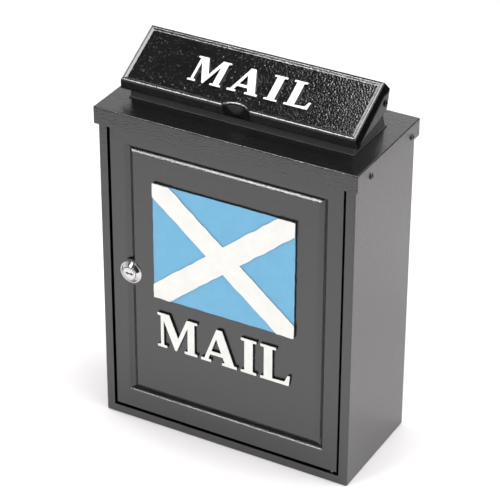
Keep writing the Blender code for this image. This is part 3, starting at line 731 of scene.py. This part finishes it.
def make_word(body, left, base, height, stretch, space, place, material):
    """Raised capitals with rounded edges; place(x, up, rise) maps them onto a surface."""
    x = left
    for key, (outline, counter, width) in LETTERS.items():
        def solid(name, points, low, high, start=x):
            rings = [[place(start + px * stretch * height, base + py * height, rise)
                      for px, py in points] for rise in (low, high)]
            return loft(name, *rings)

        letter = solid("{}_capital_{}".format(body, key), outline, -0.2 * MM, LETTER_RELIEF)
        if counter:
            cut(letter, solid("counter", counter, -1 * MM, LETTER_RELIEF + 1 * MM))
        soften(letter, 0.35 * MM, 2, 30)
        settle(letter, material, body, ["{}_letter_{}".format(body, key)])
        x += (width * stretch + space) * height


def on_door(x, up, rise):
    return (x, DOOR_FACE - rise, up)


def on_field(x, up, rise):
    return on_flap(x, up, rise - FIELD_DEPTH)


def make_lettering():
    make_word("door", left=-67.5 * MM, base=89.5 * MM, height=36 * MM, stretch=1, space=0.105,
              place=on_door, material=DOOR_WHITE)
    make_word("flap", left=-54.5 * MM, base=15.6 * MM, height=26 * MM, stretch=1.09, space=0.25,
              place=on_field, material=FLAP_WHITE)


# ---------------------------------------------------------------- door

def groove_profile():
    """(inset, depth) across the moulding: two hollow walls that meet in a pointed valley."""
    edge = radians(46)
    floor = radians(20)
    half = 4.3 * MM
    sweep = half / (sin(edge) - sin(floor))
    steps = 9
    wall = []
    for step in range(steps + 1):
        turn = edge + (floor - edge) * step / steps
        wall.append((half - sweep * (sin(edge) - sin(turn)), sweep * (cos(turn) - cos(edge))))
    left = [(-inset, depth) for inset, depth in wall]
    right = list(reversed(wall))[1:]
    return [(-half, -1 * MM)] + left + right + [(half, -1 * MM)]


def groove_cutter():
    """The moulding's path round the door, left out round the lock.

    The level runs are narrower than the sides and lie further out. Points close to each corner
    keep the shading of the straight runs straight.
    """
    near = 1 * MM
    points = []
    profile = groove_profile()
    for inset, depth in profile:
        x = GROOVE_X - inset
        low = GROOVE_Z[0] - 1.2 * MM + 0.9 * inset
        high = GROOVE_Z[1] + 1.3 * MM - 0.7 * inset
        corners = [Vector(corner) for corner in ((-x, low), (x, low), (x, high), (-x, high))]
        for index, here in enumerate(corners):
            before = (corners[index - 1] - here).normalized()
            after = (corners[(index + 1) % len(corners)] - here).normalized()
            for spot in (here + near * before, here, here + near * after):
                points.append((spot.x, DOOR_FACE + depth, spot.y))
    around = len(points) // len(profile)
    faces = []
    for band in range(len(profile)):
        this = band * around
        other = (band + 1) % len(profile) * around
        for side in range(around):
            after = (side + 1) % around
            faces.append([this + side, this + after, other + after, other + side])
    cutter = mesh_object("groove", points, faces)
    cut(cutter, rod_y("boss", LOCK_BOSS_RADIUS, (-FAR, FAR), LOCK, 96))
    return cutter


def make_door():
    door = box("door", (DOOR_LOW.x, DOOR_HIGH.x), (DOOR_FACE, DOOR_BACK),
               (DOOR_LOW.z, DOOR_HIGH.z))
    soften(door, 0.6 * MM, 3)
    cut(door, groove_cutter())
    cut(door, rod_y("drill", LOCK_HOLE_RADIUS, (-FAR, FAR), LOCK, 96))
    settle(door, DOOR_COAT, "door", ["door_panel"])


def wavy(outline, amount, pitch, seed):
    """Outline with its straight edges subdivided and gently wandering."""
    points = []
    for (x, z), (next_x, next_z) in zip(outline, outline[1:] + outline[:1]):
        length = hypot(next_x - x, next_z - z)
        across = ((z - next_z) / length, (next_x - x) / length)
        steps = max(int(length / pitch), 1)
        for step in range(steps):
            share = step / steps
            here = (x + (next_x - x) * share, z + (next_z - z) * share)
            drift = noise.noise(Vector((here[0] * 110, seed, here[1] * 110)))
            drift *= amount * min(1, 4 * share, 4 * (1 - share))
            points.append((here[0] + across[0] * drift, here[1] + across[1] * drift))
    return points


def make_emblem():
    half_x = PANEL_HIGH.x
    low_z = PANEL_LOW.z
    high_z = PANEL_HIGH.z
    middle = (low_z + high_z) / 2
    half_z = (high_z - low_z) / 2
    outline = [(-half_x, low_z), (half_x, low_z), (half_x, high_z), (-half_x, high_z)]
    face = DOOR_FACE - PANEL_RELIEF
    sunk = 0.2 * MM
    field = prism_y("emblem_plate", wavy(outline, 0.35 * MM, 4 * MM, 1), (face, DOOR_FACE + sunk))
    soften(field, 0.4 * MM, 2, 45)
    settle(field, PANEL_BLUE, "door", ["emblem_field"])
    diagonal = hypot(half_x, half_z)
    half_band = 10.7 * MM
    reach_x = half_band * diagonal / half_z
    reach_z = half_band * diagonal / half_x
    quarter = [(reach_x, 0), (half_x, half_z - reach_z), (half_x, half_z),
               (half_x - reach_x, half_z)]
    cross = quarter + [(0, reach_z)] + [(-x, z) for x, z in reversed(quarter)]
    cross = cross + [(x, -z) for x, z in reversed(cross[1:-1])]
    cross = [(x, middle + z) for x, z in cross]
    band = prism_y("emblem_saltire", wavy(cross, 0.8 * MM, 3 * MM, 5),
                   (face - CROSS_ON_PANEL, face + sunk))
    soften(band, 0.3 * MM, 2, 45)
    settle(band, CROSS_WHITE, "door", ["emblem_cross"])


# ---------------------------------------------------------------- lock

def make_lock():
    face = DOOR_FACE
    bore = 6.8 * MM
    bezel = 11 * MM
    barrel = 8 * MM
    back = 20 * MM
    front = -2.2 * MM
    lip = front - 0.7 * MM
    rim = 0.6 * MM
    profile = [(bore, back), (bore, front - 0.45 * MM), (bore + 0.15 * MM, lip),
               (bore + 0.5 * MM, lip), (9.8 * MM, front + 1.75 * MM), (10.1 * MM, front + 1.9 * MM)]
    profile += arc((bezel - rim, front + 2.5 * MM), rim, -80, 0, 6)
    profile += [(bezel, face), (barrel, face), (barrel, back)]
    housing = turned("lock_bezel", profile, "y", 1, LOCK)
    settle(housing, CHROME, "door", ["lock_housing"])
    make_key_plug()


def make_key_plug():
    radius = 6.5 * MM
    back = 20.3 * MM
    front = -3.2 * MM
    profile = [(0, front), (radius - 0.5 * MM, front), (radius - 0.15 * MM, front + 0.15 * MM),
               (radius, front + 0.5 * MM), (radius, back), (0, back)]
    plug = turned("key_plug", profile, "y", 1, LOCK)
    x, z = LOCK
    depth = (front - 10 * MM, front + 5 * MM)
    cut(plug, box("slot", (x - 3.9 * MM, x + 3.9 * MM), depth, (z - 0.55 * MM, z + 0.55 * MM)))
    for side in (-1, 1):
        bit = side * 2.2 * MM
        cut(plug, box("bit", (x + bit - 0.6 * MM, x + bit + 0.6 * MM), depth,
                      (z - 1.3 * MM, z + 1.3 * MM)))
    inner, outer = 4.9 * MM, 5.2 * MM
    start, end = front - 1 * MM, front + 0.18 * MM
    ring = [(inner, start), (outer, start), (outer, end), (inner, end)]
    cut(plug, turned("ring", ring, "y", 1, LOCK))
    settle(plug, CHROME, "lock", ["lock_plug"])


def paint_cad_nodes():
    """The inner pieces keep their CAD shapes and take detailed finishes."""
    finishes = {SHEET_COAT: ("door_header", "hinge_bracket_lower", "hinge_bracket_upper",
                             "lock_keeper"),
                ZINC: ("hinge_pin_lower", "hinge_pin_upper", "lock_nut", "lock_cam",
                       "cam_screw")}
    for material, names in finishes.items():
        for name in names:
            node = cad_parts[name]
            node.data.materials.clear()
            node.data.materials.append(material)


# ---------------------------------------------------------------- studio

def make_floor():
    half = 6.0
    points = [(-half, -half, 0), (half, -half, 0), (half, half, 0), (-half, half, 0)]
    mesh = bpy.data.meshes.new("floor")
    mesh.from_pydata(points, [], [(0, 1, 2, 3)])
    floor = bpy.data.objects.new("floor", mesh)
    bpy.context.scene.collection.objects.link(floor)
    paper = Shader("studio_paper", (0.93, 0.91, 0.92), 0.6)
    paper.colour(paper.mix(paper.noise(6, 3), (0.92, 0.90, 0.91), (0.94, 0.92, 0.93)))
    paper.bump(paper.noise(900, 2), 0.03, 0.1 * MM)
    mesh.materials.append(paper.material)


def make_world():
    """A pale surround, bright round the horizon and dim overhead."""
    world = bpy.data.worlds.new("studio")
    bpy.context.scene.world = world
    world.use_nodes = True
    tree = world.node_tree
    direction = tree.nodes.new("ShaderNodeTexCoord").outputs["Generated"]
    split = tree.nodes.new("ShaderNodeSeparateXYZ")
    tree.links.new(direction, split.inputs["Vector"])
    ramp = tree.nodes.new("ShaderNodeValToRGB")
    ramp.color_ramp.interpolation = "EASE"
    stops = ramp.color_ramp.elements
    stops[0].position = 0.0
    stops[0].color = (1, 0.98, 0.99, 1)
    stops[1].position = 0.45
    stops[1].color = (0.68, 0.67, 0.675, 1)
    dim = stops.new(0.72)
    dim.color = (0.04, 0.04, 0.04, 1)
    tree.links.new(split.outputs["Z"], ramp.inputs["Fac"])
    side = tree.nodes.new("ShaderNodeMapRange")
    side.inputs["From Min"].default_value = -0.6
    side.inputs["From Max"].default_value = -0.3
    side.inputs["To Min"].default_value = 1.1
    side.inputs["To Max"].default_value = 2.2
    tree.links.new(split.outputs["X"], side.inputs["Value"])
    background = tree.nodes["Background"]
    tree.links.new(ramp.outputs["Color"], background.inputs["Color"])
    tree.links.new(side.outputs["Result"], background.inputs["Strength"])


def make_softbox(name, place, target, size, power):
    light = bpy.data.lights.new(name, "AREA")
    light.shape = "RECTANGLE"
    light.size = size[0]
    light.size_y = size[1]
    light.energy = power
    lamp = bpy.data.objects.new(name, light)
    lamp.location = place
    lamp.rotation_euler = (Vector(target) - Vector(place)).to_track_quat("-Z", "Y").to_euler()
    bpy.context.scene.collection.objects.link(lamp)


def make_black_cards():
    """Curved black cards in front and at the right rear, which only the gloss can see."""
    felt = Shader("black_felt", (0.01, 0.01, 0.01), 0.9)
    felt.colour(felt.mix(felt.noise(60, 3), (0.008, 0.008, 0.008), (0.014, 0.014, 0.014)))
    steps = 40
    for name, radius, start, end, height in (("front_card", 0.95, -145, -25, 0.94),
                                             ("rear_card", 0.88, 18, 62, 0.72)):
        points = []
        for x, y in arc((0, 0), radius, start, end, steps):
            points += [(x, y, 0.002), (x, y, height)]
        faces = [[2 * step, 2 * step + 2, 2 * step + 3, 2 * step + 1] for step in range(steps)]
        mesh = bpy.data.meshes.new(name)
        mesh.from_pydata(points, [], faces)
        mesh.materials.append(felt.material)
        card = bpy.data.objects.new(name, mesh)
        bpy.context.scene.collection.objects.link(card)
        card.visible_camera = False
        card.visible_diffuse = False
        card.visible_shadow = False


def make_camera():
    """A long lens, placed by calibration on the box's straight edges."""
    azimuth, elevation, roll = radians(28.806), radians(31.030), radians(0.2544)
    back = Vector((sin(azimuth) * cos(elevation), -cos(azimuth) * cos(elevation), sin(elevation)))
    right = Vector((0, 0, 1)).cross(back).normalized()
    up = back.cross(right)
    right, up = right * cos(roll) + up * sin(roll), up * cos(roll) - right * sin(roll)
    turn = Matrix((right, up, back)).transposed().to_4x4()
    camera = bpy.data.objects.new("camera", bpy.data.cameras.new("camera"))
    camera.data.sensor_width = 36
    camera.data.lens = 170.43
    camera.matrix_world = Matrix.Translation((0.86593, -1.52765 + FRONT, 1.26541)) @ turn
    bpy.context.scene.collection.objects.link(camera)
    bpy.context.scene.camera = camera


def make_studio():
    make_floor()
    make_black_cards()
    make_world()
    make_softbox("front_left", (-0.70, -1.05, 1.76), (0, 0, 0.28), (0.85, 0.5), 20.5)
    make_softbox("overhead", (0.2, 0.06, 1.2), (0.12, 0, 0.3), (0.62, 0.6), 9)
    make_softbox("right", (1.35, 0.15, 1.5), (0.1, 0, 0.2), (0.7, 0.7), 8)
    make_softbox("left", (-1.5, 0.35, 1.3), (-0.1, 0, 0.2), (0.7, 0.7), 8)
    bpy.context.scene.view_settings.view_transform = "Standard"
    make_camera()


make_casing()
make_cap()
make_back_panel()
make_hood()
make_screws()
make_flap()
make_lid()
make_lettering()
make_door()
make_emblem()
make_lock()
paint_cad_nodes()
make_studio()
